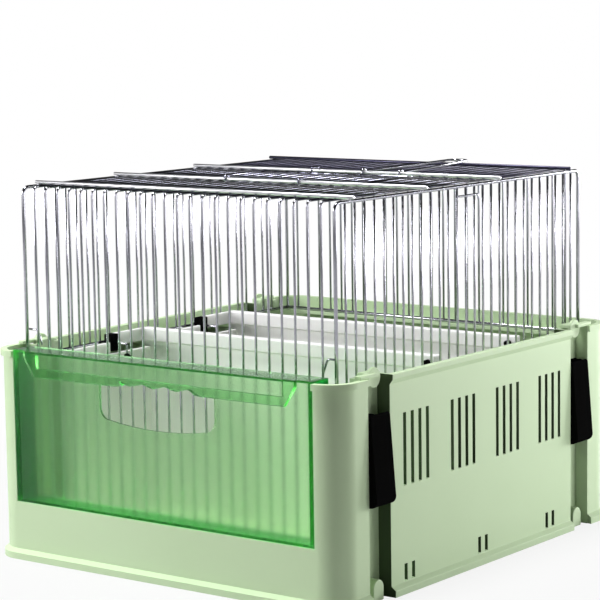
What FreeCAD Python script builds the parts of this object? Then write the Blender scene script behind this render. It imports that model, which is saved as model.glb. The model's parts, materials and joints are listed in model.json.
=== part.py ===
import FreeCAD, Part
import math
import os

# Bird carrier, in millimetres. Origin at the middle of the footprint, +X right, +Y to the rear, +Z up.
# The front, with the see-through cover, faces -Y.

# Plastic tub: two end panels with rounded corners, and two side panels between them
TUB_WIDTH = 360.0
TUB_DEPTH = 412.0
TUB_HEIGHT = 177.0
WALL = 3.0
CORNER_RADIUS = 23.0
FOOT_FLARE = 4.0
FOOT_HEIGHT = 5.5
FOOT_SLOPE = 3.0
RIM_LIP = 2.5
RIM_LIP_HEIGHT = 5.0
SIDE_LIP = 3.0
SIDE_LIP_HEIGHT = 8.0
SIDE_LIP_SLOPE = 4.0
WELD_DEPTH = 1.0            # how far a rib, lip or ledge is rooted in its wall

# Recessed corner seams, where an end panel and a side panel butt
SEAM_INSET = 53.5
SEAM_WIDTH = 29.0
SEAM_RECESS = 12.0

# Floor tray and the ledges that carry it and the cage
FLOOR_HEIGHT = 8.0
FLOOR_THICKNESS = 2.5
FLOOR_GAP = 0.4
LEDGE_THICKNESS = 3.0
FLOOR_LEDGE_REACH = 12.0
LEDGE_END_GAP = 6.0
CAGE_SEAT_DROP = 10.0
CAGE_SEAT_GAP = 0.3

# Side panel vents
VENT_GROUPS = 4
VENT_GROUP_PITCH = 68.0
VENT_SLOTS = 4
VENT_SLOT_PITCH = 10.7
VENT_WIDTH = 4.0
VENT_BOTTOM = 86.0
VENT_TOP = 144.0
DRAIN_PAIRS = 3
DRAIN_PAIR_PITCH = 107.5
DRAIN_SLOT_PITCH = 10.4
DRAIN_SHIFT = 5.0
DRAIN_BOTTOM = 9.5
DRAIN_TOP = 23.0

# Front window and its sliding cover
WINDOW_JAMB = 24.0
SILL_HEIGHT = 49.0
SHELF_DROP = 3.0
COVER_GAP = 0.5
COVER_SEAT_GAP = 0.3
COVER_SET_BACK = 0.3
COVER_WALL = 2.0
COVER_SIDE_WALL = 4.5
COVER_RISE = 1.5
COVER_CAGE_GAP = 1.6
TONGUE_REACH = 5.0
TONGUE_GAP = 0.4
GUIDE_THICKNESS = 3.0
GUIDE_TOP_GAP = 6.0
GRIP_WIDTH = 282.0
GRIP_HEIGHT = 21.0
GRIP_PROUD = 3.5
GRIP_SHOULDER = 5.0
GRIP_SLANT = 10.0
GRIP_POCKET_WALL = 2.5
FINGER_COUNT = 4
FINGER_PITCH = 24.0
FINGER_RISE = 4.4
FINGER_DIP = 2.6
HOLE_WIDTH = 120.0
HOLE_HEIGHT = 29.0
HOLE_BOW = 4.0
HOLE_CORNER = 10.0

# Latches: a lever on a pin, clasping the seam
LATCH_TOP = 148.0
LATCH_HEIGHT = 72.0
LATCH_WIDTH = 26.0
LATCH_BASE_THICKNESS = 2.0
LATCH_BASE_DROP = 4.0
LATCH_PIVOT_OUT = 6.5
LATCH_PIVOT_DROP = 3.5
LATCH_PIN_RADIUS = 1.5
LATCH_PIN_CLEARANCE = 0.05
KNUCKLE_RADIUS = 3.2
KNUCKLE_WIDTH = 5.4
KNUCKLE_GAP = 0.3
EAR_THICKNESS = 2.5
LEVER_WALL = 3.0
LEVER_GAP = 0.5
LEVER_FLARE = 5.0
LEVER_TOE_HEIGHT = 8.0
LEVER_TOE_BACK = 5.6
LEVER_TOE_BULGE = 2.2
LEVER_SKIRT = 2.0
KEEPER_THICKNESS = 3.3
KEEPER_HEIGHT = 5.0
KEEPER_END_GAP = 8.0
KEEPER_GAP = 0.4

# Corner clips over the top and the foot of each seam
CLIP_WIDTH = 16.0
CLIP_THICKNESS = 3.0
CLIP_DROP = 9.0
CLIP_STANDOFF = 5.0
CLIP_BAR_REACH = 22.5
CLIP_BAR_WIDTH = 7.0
FOOT_CLIP_WIDTH = 14.0
FOOT_CLIP_HEIGHT = 17.0
FOOT_CLIP_THICKNESS = 10.0

# Divider boards, their guides and their fittings
DIVIDER_PLACES = {"front_divider": -37.0, "rear_divider": 87.0}
DIVIDER_END_GAP = 1.0
DIVIDER_FLOOR_GAP = 0.3
BOARD_THICKNESS = 3.0
RAIL_THICKNESS = 9.0
RAIL_HEIGHT = 11.5
RAIL_RIM_GAP = 0.5
EAR_FLANGE_LENGTH = 43.0
EAR_FLANGE_THICKNESS = 3.0
EAR_PANEL_LENGTH = 110.0
EAR_PANEL_TOP_DROP = 6.5
EAR_PANEL_RIB_GAP = 0.5
EAR_PANEL_CLIP_GAP = 1.5
GUIDE_RIB_THICKNESS = 3.0
GUIDE_RIB_GAP = 0.4
GUIDE_RIB_OVERLAP = 5.5
GUIDE_RIB_TOP_GAP = 4.0
CLIP_BLOCK_LENGTH = 10.0
CLIP_BLOCK_WIDTH = 8.0
CLIP_BLOCK_HEIGHT = 15.0
DIVIDER_HOOK_WIRE = 2.0
DIVIDER_HOOK_REACH = 14.0
DIVIDER_HOOK_DROP = 8.0
KNOB_RADIUS = 3.0
PEG_RADIUS = 2.5
PEG_LENGTH = 5.0
PEG_END_INSET = 6.0

# Wire cage
CAGE_HEIGHT = 313.0         # middle of the roof wires
CAGE_SIDE_INSET = 18.5
CAGE_END_INSET = 24.0
WIRE_PITCH = 13.0
WIRE = 2.0
FRAME_WIRE = 3.0
WELD_OVERLAP = 0.3
TOUCH_GAP = 0.05
END_BEND = 4.0
FRAME_BEND = 6.0
BAR_OVERHANG = 3.5
EDGE_BAR_INSET = 20.0
MIDDLE_BAR_SPAN = 110.0
MIDDLE_BAR_SHIFT = 7.0      # how far the middle bars stand forward of the roof's middle
STRIP_OVERLAP = 1.8
SEAM_TURN = 30.0            # degrees
WELD_TAIL = 0.8             # how far a frame wire runs on past the one it meets
SIDE_CLIP_LENGTH = 32.0
SIDE_CLIP_DROP = 8.0
SIDE_CLIP_TAIL = 4.0

# Roof hatch, hinged on rings round the front middle bar
HATCH_SPACES = 13
HATCH_SIDE_GAP = 4.5
HATCH_RING_INSET = 3.8
HATCH_CATCH_INSET = 6.5
RING_WIRE = 1.8
RING_CLEARANCE = 0.3
RING_HALF_SPACES_IN = 7
CATCH_HALF_SPACES_IN = 9
CATCH_OVERSHOOT = 3.6
CATCH_TIP_DROP = 3.1

# Carry bail, hinged on rings round the rear middle bar
BAIL_WIRE = 2.2
BAIL_OFF_SPACES = 2
BAIL_SPACES_WIDE = 3
BAIL_TIP_WIDTH = 18.0
BAIL_TIP_BEND = 7.0
BAIL_LENGTH = 124.0
BAIL_RING_CLEARANCE = 0.25
BAIL_REST_GAP = 0.4
BAIL_LEG_LIFT = 0.8

# Wire hooks at the cage's front corners
CORNER_HOOK_WIRE = 1.8
CORNER_HOOK_HEIGHT = 15.0
CORNER_HOOK_REACH = 9.5
CORNER_HOOK_TAIL = 4.5
CORNER_HOOK_DROP = 12.0
CORNER_HOOK_BEND = 4.0
CORNER_HOOK_GAP = 0.5

# Places that follow from the sizes above
HALF_WIDTH = TUB_WIDTH / 2
HALF_DEPTH = TUB_DEPTH / 2
INNER_X = HALF_WIDTH - WALL
INNER_Y = HALF_DEPTH - WALL
SEAM_Y = HALF_DEPTH - SEAM_INSET
SEAM_OUTER_Y = SEAM_Y + SEAM_WIDTH / 2
SEAM_INNER_Y = SEAM_Y - SEAM_WIDTH / 2
RECESS_X = HALF_WIDTH - SEAM_RECESS
FLOOR_TOP = FLOOR_HEIGHT + FLOOR_THICKNESS
WINDOW_WIDTH = TUB_WIDTH - 2 * WINDOW_JAMB
CAGE_SEAT_HEIGHT = TUB_HEIGHT - CAGE_SEAT_DROP
CAGE_X = HALF_WIDTH - CAGE_SIDE_INSET
CAGE_Y = HALF_DEPTH - CAGE_END_INSET
FRAME_RADIUS = FRAME_WIRE / 2
WIRE_RADIUS = WIRE / 2
BAR_Z = CAGE_HEIGHT + WIRE_RADIUS + FRAME_RADIUS - WELD_OVERLAP
BAR_TOP = BAR_Z + FRAME_RADIUS
FRAME_TOP_Z = BAR_Z - FRAME_WIRE - TOUCH_GAP
CAGE_FOOT_Z = CAGE_SEAT_HEIGHT + CAGE_SEAT_GAP + FRAME_RADIUS
SHELF_TOP = SILL_HEIGHT - SHELF_DROP
FRONT_FOOT_Z = SHELF_TOP + CAGE_SEAT_GAP + FRAME_RADIUS
ROOF_END_Y = CAGE_Y - END_BEND
FRONT_BAR_Y = -MIDDLE_BAR_SPAN / 2 - MIDDLE_BAR_SHIFT
REAR_BAR_Y = MIDDLE_BAR_SPAN / 2 - MIDDLE_BAR_SHIFT
EDGE_BAR_Y = CAGE_Y - EDGE_BAR_INSET
FRONT_STRIP_Y = FRONT_BAR_Y + STRIP_OVERLAP
REAR_STRIP_Y = REAR_BAR_Y - STRIP_OVERLAP
LEDGE_X = CAGE_X - FRAME_WIRE
DIVIDER_X = LEDGE_X - DIVIDER_END_GAP
RAIL_TOP = TUB_HEIGHT - RAIL_RIM_GAP
RAIL_BOTTOM = RAIL_TOP - RAIL_HEIGHT
CROSS_SPACES = round(2 * CAGE_X / WIRE_PITCH)
CROSS_STEP = 2 * CAGE_X / CROSS_SPACES
SIDE_SPACES = round(2 * CAGE_Y / WIRE_PITCH)
SIDE_STEP = 2 * CAGE_Y / SIDE_SPACES
CROSS_PLACES = [(i - CROSS_SPACES / 2) * CROSS_STEP for i in range(CROSS_SPACES + 1)]
HATCH_FIRST = round((CROSS_SPACES - HATCH_SPACES) / 2)
HATCH_LEFT = CROSS_PLACES[HATCH_FIRST]
HATCH_RIGHT = CROSS_PLACES[HATCH_FIRST + HATCH_SPACES]


def point(x, y, z):
    return FreeCAD.Vector(x, y, z)


def box(x0, x1, y0, y1, z0, z1):
    return Part.makeBox(x1 - x0, y1 - y0, z1 - z0, point(x0, y0, z0))


def mirror_x(shape):
    return shape.mirror(point(0, 0, 0), point(1, 0, 0))


def mirror_y(shape):
    return shape.mirror(point(0, 0, 0), point(0, 1, 0))


def fuse(shapes):
    return shapes[0].multiFuse(shapes[1:]).removeSplitter()


def extrude_outline(edges, travel):
    return Part.Face(Part.Wire(edges)).extrude(travel)


def polygon(points):
    closed = points + [points[0]]
    return [Part.LineSegment(a, b).toShape() for a, b in zip(closed, closed[1:])]


def straight_rod(start, end, radius):
    """A round rod whose surface seam is turned away from the planes where wires cross."""
    run = end - start
    rod = Part.makeCylinder(radius, run.Length, start, run)
    rod.rotate(start, run, SEAM_TURN)
    return rod


def bent_rod(points, radius, bend):
    """A round wire along straight runs, each corner turned on a true arc of the bend radius."""
    pieces = []
    start = points[0]
    for before, corner, after in zip(points, points[1:], points[2:]):
        back = (before - corner).normalize()
        ahead = (after - corner).normalize()
        half = back.getAngle(ahead) / 2
        inward = (back + ahead).normalize()
        arc_start = corner + back * (bend / math.tan(half))
        centre = corner + inward * (bend / math.sin(half))
        if (arc_start - start).Length > TOUCH_GAP:
            pieces.append(straight_rod(start, arc_start, radius))
        section = Part.Face(Part.Wire(Part.makeCircle(radius, arc_start, back)))
        turn = 180 - math.degrees(2 * half)
        pieces.append(section.revolve(centre, ahead.cross(back), turn))
        start = corner + ahead * (bend / math.tan(half))
    if (points[-1] - start).Length > TOUCH_GAP:
        pieces.append(straight_rod(start, points[-1], radius))
    return pieces[0].multiFuse(pieces[1:])


def end_panel_edges(outward, to_seam):
    """Plan of an end panel's skin, left to right, moved outward from the outer face."""
    radius = CORNER_RADIUS + outward
    diagonal = radius * math.sqrt(0.5)
    arc_x = HALF_WIDTH - CORNER_RADIUS
    arc_y = -HALF_DEPTH + CORNER_RADIUS
    inward = min(outward, 0.0)
    right = [point(arc_x, -HALF_DEPTH - outward, 0), point(arc_x + diagonal, arc_y - diagonal, 0),
             point(HALF_WIDTH + outward, arc_y, 0), point(HALF_WIDTH + outward, -SEAM_OUTER_Y + inward, 0)]
    if to_seam:
        right.append(point(RECESS_X + outward, -SEAM_OUTER_Y + inward, 0))
        right.append(point(RECESS_X + outward, -SEAM_Y, 0))
    left = [point(-p.x, p.y, 0) for p in right]
    edges = [Part.LineSegment(a, b).toShape() for a, b in zip(left[:1:-1], left[-2:1:-1])]
    edges.append(Part.Arc(left[2], left[1], left[0]).toShape())
    edges.append(Part.LineSegment(left[0], right[0]).toShape())
    edges.append(Part.Arc(right[0], right[1], right[2]).toShape())
    edges += [Part.LineSegment(a, b).toShape() for a, b in zip(right[2:], right[3:])]
    return edges, left[-1], right[-1]


def end_panel_band(outer, inner, to_seam, z):
    """Closed plan of a band of an end panel, at a height."""
    outside, outside_left, outside_right = end_panel_edges(outer, to_seam)
    inside, inside_left, inside_right = end_panel_edges(inner, to_seam)
    ends = [Part.LineSegment(outside_right, inside_right).toShape(),
            Part.LineSegment(inside_left, outside_left).toShape()]
    wire = Part.Wire(Part.__sortEdges__(outside + inside + ends))
    wire.translate(point(0, 0, z))
    return wire


def end_panel():
    """Front form of an end panel: skin, rim lip, flared foot and floor ledge."""
    skin = Part.Face(end_panel_band(0.0, -WALL, True, 0)).extrude(point(0, 0, TUB_HEIGHT))
    lip = Part.Face(end_panel_band(RIM_LIP, -WELD_DEPTH, False, TUB_HEIGHT - RIM_LIP_HEIGHT))
    lip = lip.extrude(point(0, 0, RIM_LIP_HEIGHT))
    foot = Part.Face(end_panel_band(FOOT_FLARE, -WELD_DEPTH, False, 0)).extrude(point(0, 0, FOOT_HEIGHT))
    slope = Part.makeLoft([end_panel_band(FOOT_FLARE, -WELD_DEPTH, False, FOOT_HEIGHT),
                           end_panel_band(0.0, -WELD_DEPTH, False, FOOT_HEIGHT + FOOT_SLOPE)], True, True)
    ledge_x = HALF_WIDTH - CORNER_RADIUS
    ledge = box(-ledge_x, ledge_x, -INNER_Y - WELD_DEPTH, -INNER_Y + FLOOR_LEDGE_REACH,
                FLOOR_HEIGHT - LEDGE_THICKNESS, FLOOR_HEIGHT)
    return [skin, lip, foot, slope, ledge]


COVER_FRONT_Y = -HALF_DEPTH + COVER_SET_BACK
COVER_BACK_Y = -CAGE_Y - WIRE_RADIUS - COVER_CAGE_GAP
COVER_HALF = WINDOW_WIDTH / 2 - COVER_GAP
COVER_BOTTOM = SILL_HEIGHT + COVER_SEAT_GAP
COVER_TOP = TUB_HEIGHT + COVER_RISE
TONGUE_FRONT_Y = COVER_BACK_Y - COVER_WALL


def front_panel():
    """The end panel with the window, the sill shelf under the front grille and the cover's guides."""
    pieces = end_panel()
    shelf_x = WINDOW_WIDTH / 2
    pieces.append(box(-shelf_x, shelf_x, -INNER_Y - WELD_DEPTH, -CAGE_Y + FRAME_WIRE,
                      SHELF_TOP - LEDGE_THICKNESS, SHELF_TOP))
    guide_back = TONGUE_FRONT_Y - TONGUE_GAP
    guide_front = guide_back - GUIDE_THICKNESS
    arc_x = HALF_WIDTH - CORNER_RADIUS
    arc_y = -HALF_DEPTH + CORNER_RADIUS
    middle_radius = CORNER_RADIUS - WALL / 2
    guide_x = arc_x + math.sqrt(middle_radius ** 2 - (guide_front - arc_y) ** 2)
    guide = box(WINDOW_WIDTH / 2, guide_x, guide_front, guide_back,
                SHELF_TOP - LEDGE_THICKNESS, TUB_HEIGHT - GUIDE_TOP_GAP)
    pieces += [guide, mirror_x(guide)]
    window = box(-WINDOW_WIDTH / 2, WINDOW_WIDTH / 2, -HALF_DEPTH - RIM_LIP - WALL, -INNER_Y + WALL / 2,
                 SILL_HEIGHT, TUB_HEIGHT + WALL)
    return fuse(pieces).cut(window)


def rear_panel():
    """The end panel turned to the rear, with a ledge under the rear grille and no window."""
    pieces = end_panel()
    ledge_x = HALF_WIDTH - CORNER_RADIUS
    pieces.append(box(-ledge_x, ledge_x, -INNER_Y - WELD_DEPTH, -CAGE_Y + FRAME_WIRE,
                      CAGE_SEAT_HEIGHT - LEDGE_THICKNESS, CAGE_SEAT_HEIGHT))
    return mirror_y(fuse(pieces))


def spread(count, pitch):
    return [(i - (count - 1) / 2) * pitch for i in range(count)]


def right_side_panel():
    """Flat panel with returns into the seams, lip, foot, ledges, keeper ribs and vent slots."""
    back = SEAM_INNER_Y - WALL
    half = [point(RECESS_X, -SEAM_Y, 0), point(RECESS_X, -SEAM_INNER_Y, 0),
            point(HALF_WIDTH, -SEAM_INNER_Y, 0)]
    inside = [point(INNER_X, -back, 0), point(RECESS_X - WALL, -back, 0), point(RECESS_X - WALL, -SEAM_Y, 0)]
    flip = [[point(p.x, -p.y, 0) for p in side[::-1]] for side in (half, inside)]
    skin = extrude_outline(polygon(half + flip[0] + flip[1] + inside), point(0, 0, TUB_HEIGHT))
    root = HALF_WIDTH - WELD_DEPTH
    lip_edge = HALF_WIDTH + SIDE_LIP
    lip_low = TUB_HEIGHT - SIDE_LIP_HEIGHT
    along = point(0, 2 * SEAM_INNER_Y, 0)
    lip = [(root, TUB_HEIGHT), (lip_edge, TUB_HEIGHT), (lip_edge, lip_low + SIDE_LIP_SLOPE),
           (HALF_WIDTH, lip_low), (root, lip_low)]
    foot_edge = HALF_WIDTH + FOOT_FLARE
    foot = [(root, 0), (foot_edge, 0), (foot_edge, FOOT_HEIGHT),
            (HALF_WIDTH, FOOT_HEIGHT + FOOT_SLOPE), (root, FOOT_HEIGHT + FOOT_SLOPE)]
    pieces = [skin]
    for profile in (lip, foot):
        outline = polygon([point(x, -SEAM_INNER_Y, z) for x, z in profile])
        pieces.append(extrude_outline(outline, along))
    ledge_y = back - LEDGE_END_GAP
    pieces.append(box(LEDGE_X, INNER_X + WELD_DEPTH, -ledge_y, ledge_y,
                      CAGE_SEAT_HEIGHT - LEDGE_THICKNESS, CAGE_SEAT_HEIGHT))
    pieces.append(box(INNER_X - FLOOR_LEDGE_REACH, INNER_X + WELD_DEPTH, -ledge_y, ledge_y,
                      FLOOR_HEIGHT - LEDGE_THICKNESS, FLOOR_HEIGHT))
    keeper_out = -SEAM_Y + LATCH_WIDTH / 2 - LEVER_SKIRT - KEEPER_GAP
    keeper = box(RECESS_X - WELD_DEPTH, RECESS_X + KEEPER_HEIGHT, keeper_out - KEEPER_THICKNESS, keeper_out,
                 LATCH_TOP - LATCH_HEIGHT + KEEPER_END_GAP, LATCH_TOP - 2 * KEEPER_END_GAP)
    pieces += [keeper, mirror_y(keeper)]
    panel = fuse(pieces)
    slots = []
    for group in spread(VENT_GROUPS, VENT_GROUP_PITCH):
        for offset in spread(VENT_SLOTS, VENT_SLOT_PITCH):
            slots.append((group + offset, VENT_BOTTOM, VENT_TOP))
    for pair in spread(DRAIN_PAIRS, DRAIN_PAIR_PITCH):
        for offset in spread(2, DRAIN_SLOT_PITCH):
            slots.append((pair + offset - DRAIN_SHIFT, DRAIN_BOTTOM, DRAIN_TOP))
    cuts = [box(INNER_X - WALL, foot_edge + WALL, y - VENT_WIDTH / 2, y + VENT_WIDTH / 2, low, high)
            for y, low, high in slots]
    return panel.cut(Part.makeCompound(cuts))


def floor_tray():
    """Flat floor that reaches into the bays between the corner seams."""
    narrow_x = RECESS_X - WALL - FLOOR_GAP
    bay_x = INNER_X - FLOOR_GAP
    bay_y = SEAM_INNER_Y - WALL - FLOOR_GAP
    arc_x = HALF_WIDTH - CORNER_RADIUS
    reach = math.sqrt((CORNER_RADIUS - WALL - FLOOR_GAP) ** 2 - (narrow_x - arc_x) ** 2)
    long_y = HALF_DEPTH - CORNER_RADIUS + reach
    middle = box(-narrow_x, narrow_x, -long_y, long_y, FLOOR_HEIGHT, FLOOR_TOP)
    bays = box(-bay_x, bay_x, -bay_y, bay_y, FLOOR_HEIGHT, FLOOR_TOP)
    return fuse([middle, bays])


def divider_guides():
    """Upright ribs on the side walls, one each side of each divider's ends."""
    ribs = []
    low = FLOOR_TOP
    high = CAGE_SEAT_HEIGHT - LEDGE_THICKNESS - GUIDE_RIB_TOP_GAP
    near = BOARD_THICKNESS / 2 + GUIDE_RIB_GAP
    for place in DIVIDER_PLACES.values():
        for low_y in (place - near - GUIDE_RIB_THICKNESS, place + near):
            rib = box(DIVIDER_X - GUIDE_RIB_OVERLAP, INNER_X, low_y, low_y + GUIDE_RIB_THICKNESS, low, high)
            ribs += [rib, mirror_x(rib)]
    return Part.makeCompound(ribs)


def at_corners(shape):
    """Copies of a front right corner piece at all four corners, by corner name."""
    rear = mirror_y(shape)
    return {"front_right": shape, "front_left": mirror_x(shape),
            "rear_right": rear, "rear_left": mirror_x(rear)}


PIVOT_X = RECESS_X + LATCH_PIVOT_OUT
PIVOT_Z = LATCH_TOP - LATCH_PIVOT_DROP
LATCH_OUTER_Y = -SEAM_Y - LATCH_WIDTH / 2
LATCH_INNER_Y = -SEAM_Y + LATCH_WIDTH / 2
EAR_ONE_Y = LATCH_OUTER_Y + EAR_THICKNESS / 2
KNUCKLE_Y = EAR_ONE_Y + EAR_THICKNESS + KNUCKLE_GAP
EAR_TWO_Y = KNUCKLE_Y + KNUCKLE_WIDTH + KNUCKLE_GAP


def knuckle(start_y, width, root_x):
    """A round eye about the latch pin with a web to the piece that carries it."""
    eye = Part.makeCylinder(KNUCKLE_RADIUS, width, point(PIVOT_X, start_y, PIVOT_Z), point(0, 1, 0))
    web = box(min(PIVOT_X, root_x), max(PIVOT_X, root_x), start_y, start_y + width,
              PIVOT_Z - KNUCKLE_RADIUS, PIVOT_Z + KNUCKLE_RADIUS)
    bore = Part.makeCylinder(LATCH_PIN_RADIUS + LATCH_PIN_CLEARANCE, width,
                             point(PIVOT_X, start_y, PIVOT_Z), point(0, 1, 0))
    return eye.fuse(web).cut(bore)


def latch_base():
    """Plate on the end panel's side of the seam, with two ears for the pin."""
    plate_x = RECESS_X + LATCH_BASE_THICKNESS
    end_y = EAR_TWO_Y + EAR_THICKNESS
    plate = box(RECESS_X, plate_x, LATCH_OUTER_Y, end_y,
                LATCH_TOP - LATCH_HEIGHT - LATCH_BASE_DROP, LATCH_TOP)
    root = plate_x - LATCH_BASE_THICKNESS / 2
    ears = [knuckle(y, EAR_THICKNESS, root) for y in (EAR_ONE_Y, EAR_TWO_Y)]
    return fuse([plate] + ears)


def latch_pin():
    end_y = EAR_TWO_Y + EAR_THICKNESS
    return straight_rod(point(PIVOT_X, EAR_ONE_Y, PIVOT_Z), point(PIVOT_X, end_y, PIVOT_Z), LATCH_PIN_RADIUS)


def latch_lever():
    """Wedge-faced lever with a rounded toe, side skirts and one knuckle on the pin."""
    inner_x = PIVOT_X + KNUCKLE_RADIUS + LEVER_GAP
    top_x = inner_x + LEVER_WALL
    low_z = LATCH_TOP - LATCH_HEIGHT
    toe_x = top_x + LEVER_FLARE
    chamfer = LEVER_WALL / 2
    y = LATCH_OUTER_Y
    corners = [point(inner_x, y, low_z), point(inner_x, y, LATCH_TOP), point(top_x - chamfer, y, LATCH_TOP),
               point(top_x, y, LATCH_TOP - chamfer), point(toe_x, y, low_z + LEVER_TOE_HEIGHT)]
    edges = [Part.LineSegment(a, b).toShape() for a, b in zip(corners, corners[1:])]
    toe_end = point(toe_x - LEVER_TOE_BACK, y, low_z)
    chord = toe_end - corners[-1]
    across = point(-chord.z, 0, chord.x).normalize()
    toe_middle = (corners[-1] + toe_end) / 2 + across * LEVER_TOE_BULGE
    edges.append(Part.Arc(corners[-1], toe_middle, toe_end).toShape())
    edges.append(Part.LineSegment(toe_end, corners[0]).toShape())
    face = extrude_outline(edges, point(0, LATCH_WIDTH, 0))
    skirt_x = RECESS_X + LATCH_BASE_THICKNESS + LEVER_GAP
    skirt_top = PIVOT_Z - 2 * KNUCKLE_RADIUS
    skirts = [box(skirt_x, inner_x + chamfer, start, start + LEVER_SKIRT, low_z, skirt_top)
              for start in (LATCH_OUTER_Y, LATCH_INNER_Y - LEVER_SKIRT)]
    eye = knuckle(KNUCKLE_Y, KNUCKLE_WIDTH, inner_x + chamfer)
    return fuse([face, eye] + skirts)


def top_corner_clip():
    """Cap across the top of a seam, with a round hanging tab and a bar along the end panel's rim."""
    inner_x = RECESS_X - WALL
    tab_in = RECESS_X + CLIP_STANDOFF
    tab_out = tab_in + CLIP_THICKNESS
    half = CLIP_WIDTH / 2
    top = TUB_HEIGHT + CLIP_THICKNESS
    round_z = TUB_HEIGHT - CLIP_DROP + half
    cap = box(inner_x, tab_out, -SEAM_Y - half, -SEAM_Y + half, TUB_HEIGHT, top)
    upright = box(tab_in, tab_out, -SEAM_Y - half, -SEAM_Y + half, round_z, top)
    tab = Part.makeCylinder(half, CLIP_THICKNESS, point(tab_in, -SEAM_Y, round_z), point(1, 0, 0))
    bar = box(HALF_WIDTH - CLIP_BAR_WIDTH, HALF_WIDTH - WELD_DEPTH, -SEAM_Y - CLIP_BAR_REACH, -SEAM_Y,
              TUB_HEIGHT, top)
    return fuse([cap, upright, tab, bar])


def bottom_corner_clip():
    """Round-topped block at the foot of a seam."""
    half = FOOT_CLIP_WIDTH / 2
    round_z = FOOT_CLIP_HEIGHT - half
    block = box(RECESS_X, RECESS_X + FOOT_CLIP_THICKNESS, -SEAM_Y - half, -SEAM_Y + half, 0, round_z)
    dome = Part.makeCylinder(half, FOOT_CLIP_THICKNESS, point(RECESS_X, -SEAM_Y, round_z), point(1, 0, 0))
    return fuse([block, dome])


def finger_edge(y, left, right, level):
    """Upper edge of the hand hole, right to left: level runs with a wave of finger places between them."""
    wave_end = FINGER_COUNT * FINGER_PITCH / 2
    crest = level + FINGER_RISE
    wave = [point(wave_end, y, level)]
    for i in range(FINGER_COUNT):
        start = wave_end - i * FINGER_PITCH
        wave.append(point(start - FINGER_PITCH / 2, y, crest))
        wave.append(point(start - FINGER_PITCH, y, crest - FINGER_DIP))
    wave[-1] = point(-wave_end, y, level)
    curve = Part.BSplineCurve()
    curve.interpolate(wave, InitialTangent=point(-1, 0, 0), FinalTangent=point(-1, 0, 0))
    return [Part.LineSegment(point(right, y, level), wave[0]).toShape(), curve.toShape(),
            Part.LineSegment(wave[-1], point(left, y, level)).toShape()]


def front_cover():
    """See-through pan with rear-facing sides, guide tongues, a raised finger grip and a hand hole."""
    plate_back = COVER_FRONT_Y + COVER_WALL
    pan = box(-COVER_HALF, COVER_HALF, COVER_FRONT_Y, COVER_BACK_Y, COVER_BOTTOM, COVER_TOP)
    hollow_x = COVER_HALF - COVER_SIDE_WALL
    hollow = box(-hollow_x, hollow_x, plate_back, COVER_BACK_Y + COVER_WALL,
                 COVER_BOTTOM + COVER_WALL, COVER_TOP - COVER_WALL)
    tongue = box(COVER_HALF - COVER_WALL, COVER_HALF + TONGUE_REACH, TONGUE_FRONT_Y, COVER_BACK_Y,
                 COVER_BOTTOM, TUB_HEIGHT - GUIDE_TOP_GAP)
    level = COVER_TOP - GRIP_HEIGHT
    grip_y = COVER_FRONT_Y - GRIP_PROUD

    def line(x0, z0, x1, z1):
        return Part.LineSegment(point(x0, grip_y, z0), point(x1, grip_y, z1)).toShape()

    def arc(x0, z0, x1, z1, x2, z2):
        return Part.Arc(point(x0, grip_y, z0), point(x1, grip_y, z1), point(x2, grip_y, z2)).toShape()

    half = GRIP_WIDTH / 2
    straight = half - GRIP_SLANT
    shoulder = COVER_TOP - GRIP_SHOULDER
    corners = [(straight, level), (-straight, level), (-half, shoulder), (-half, COVER_TOP),
               (half, COVER_TOP), (half, shoulder)]
    grip = extrude_outline(polygon([point(x, grip_y, z) for x, z in corners]),
                           point(0, plate_back - grip_y, 0))
    pocket_x = straight - GRIP_POCKET_WALL
    pocket = box(-pocket_x, pocket_x,
                 grip_y + GRIP_POCKET_WALL, plate_back + COVER_WALL,
                 level + FINGER_RISE + GRIP_POCKET_WALL, COVER_TOP - COVER_WALL)
    side = HOLE_WIDTH / 2
    low = level - HOLE_HEIGHT
    bend = low + HOLE_CORNER
    foot = side - HOLE_CORNER
    turn = HOLE_CORNER * (1 - math.sqrt(0.5))
    hole = finger_edge(grip_y, -side, side, level)
    hole.append(line(-side, level, -side, bend))
    hole.append(arc(-side, bend, -side + turn, low + turn, -foot, low))
    hole.append(arc(-foot, low, 0, low - HOLE_BOW, foot, low))
    hole.append(arc(foot, low, side - turn, low + turn, side, bend))
    hole.append(line(side, bend, side, level))
    opening = extrude_outline(hole, point(0, plate_back - grip_y + COVER_WALL, 0))
    shell = fuse([pan.cut(hollow), tongue, mirror_x(tongue), grip])
    return shell.cut(pocket).cut(opening)


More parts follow.
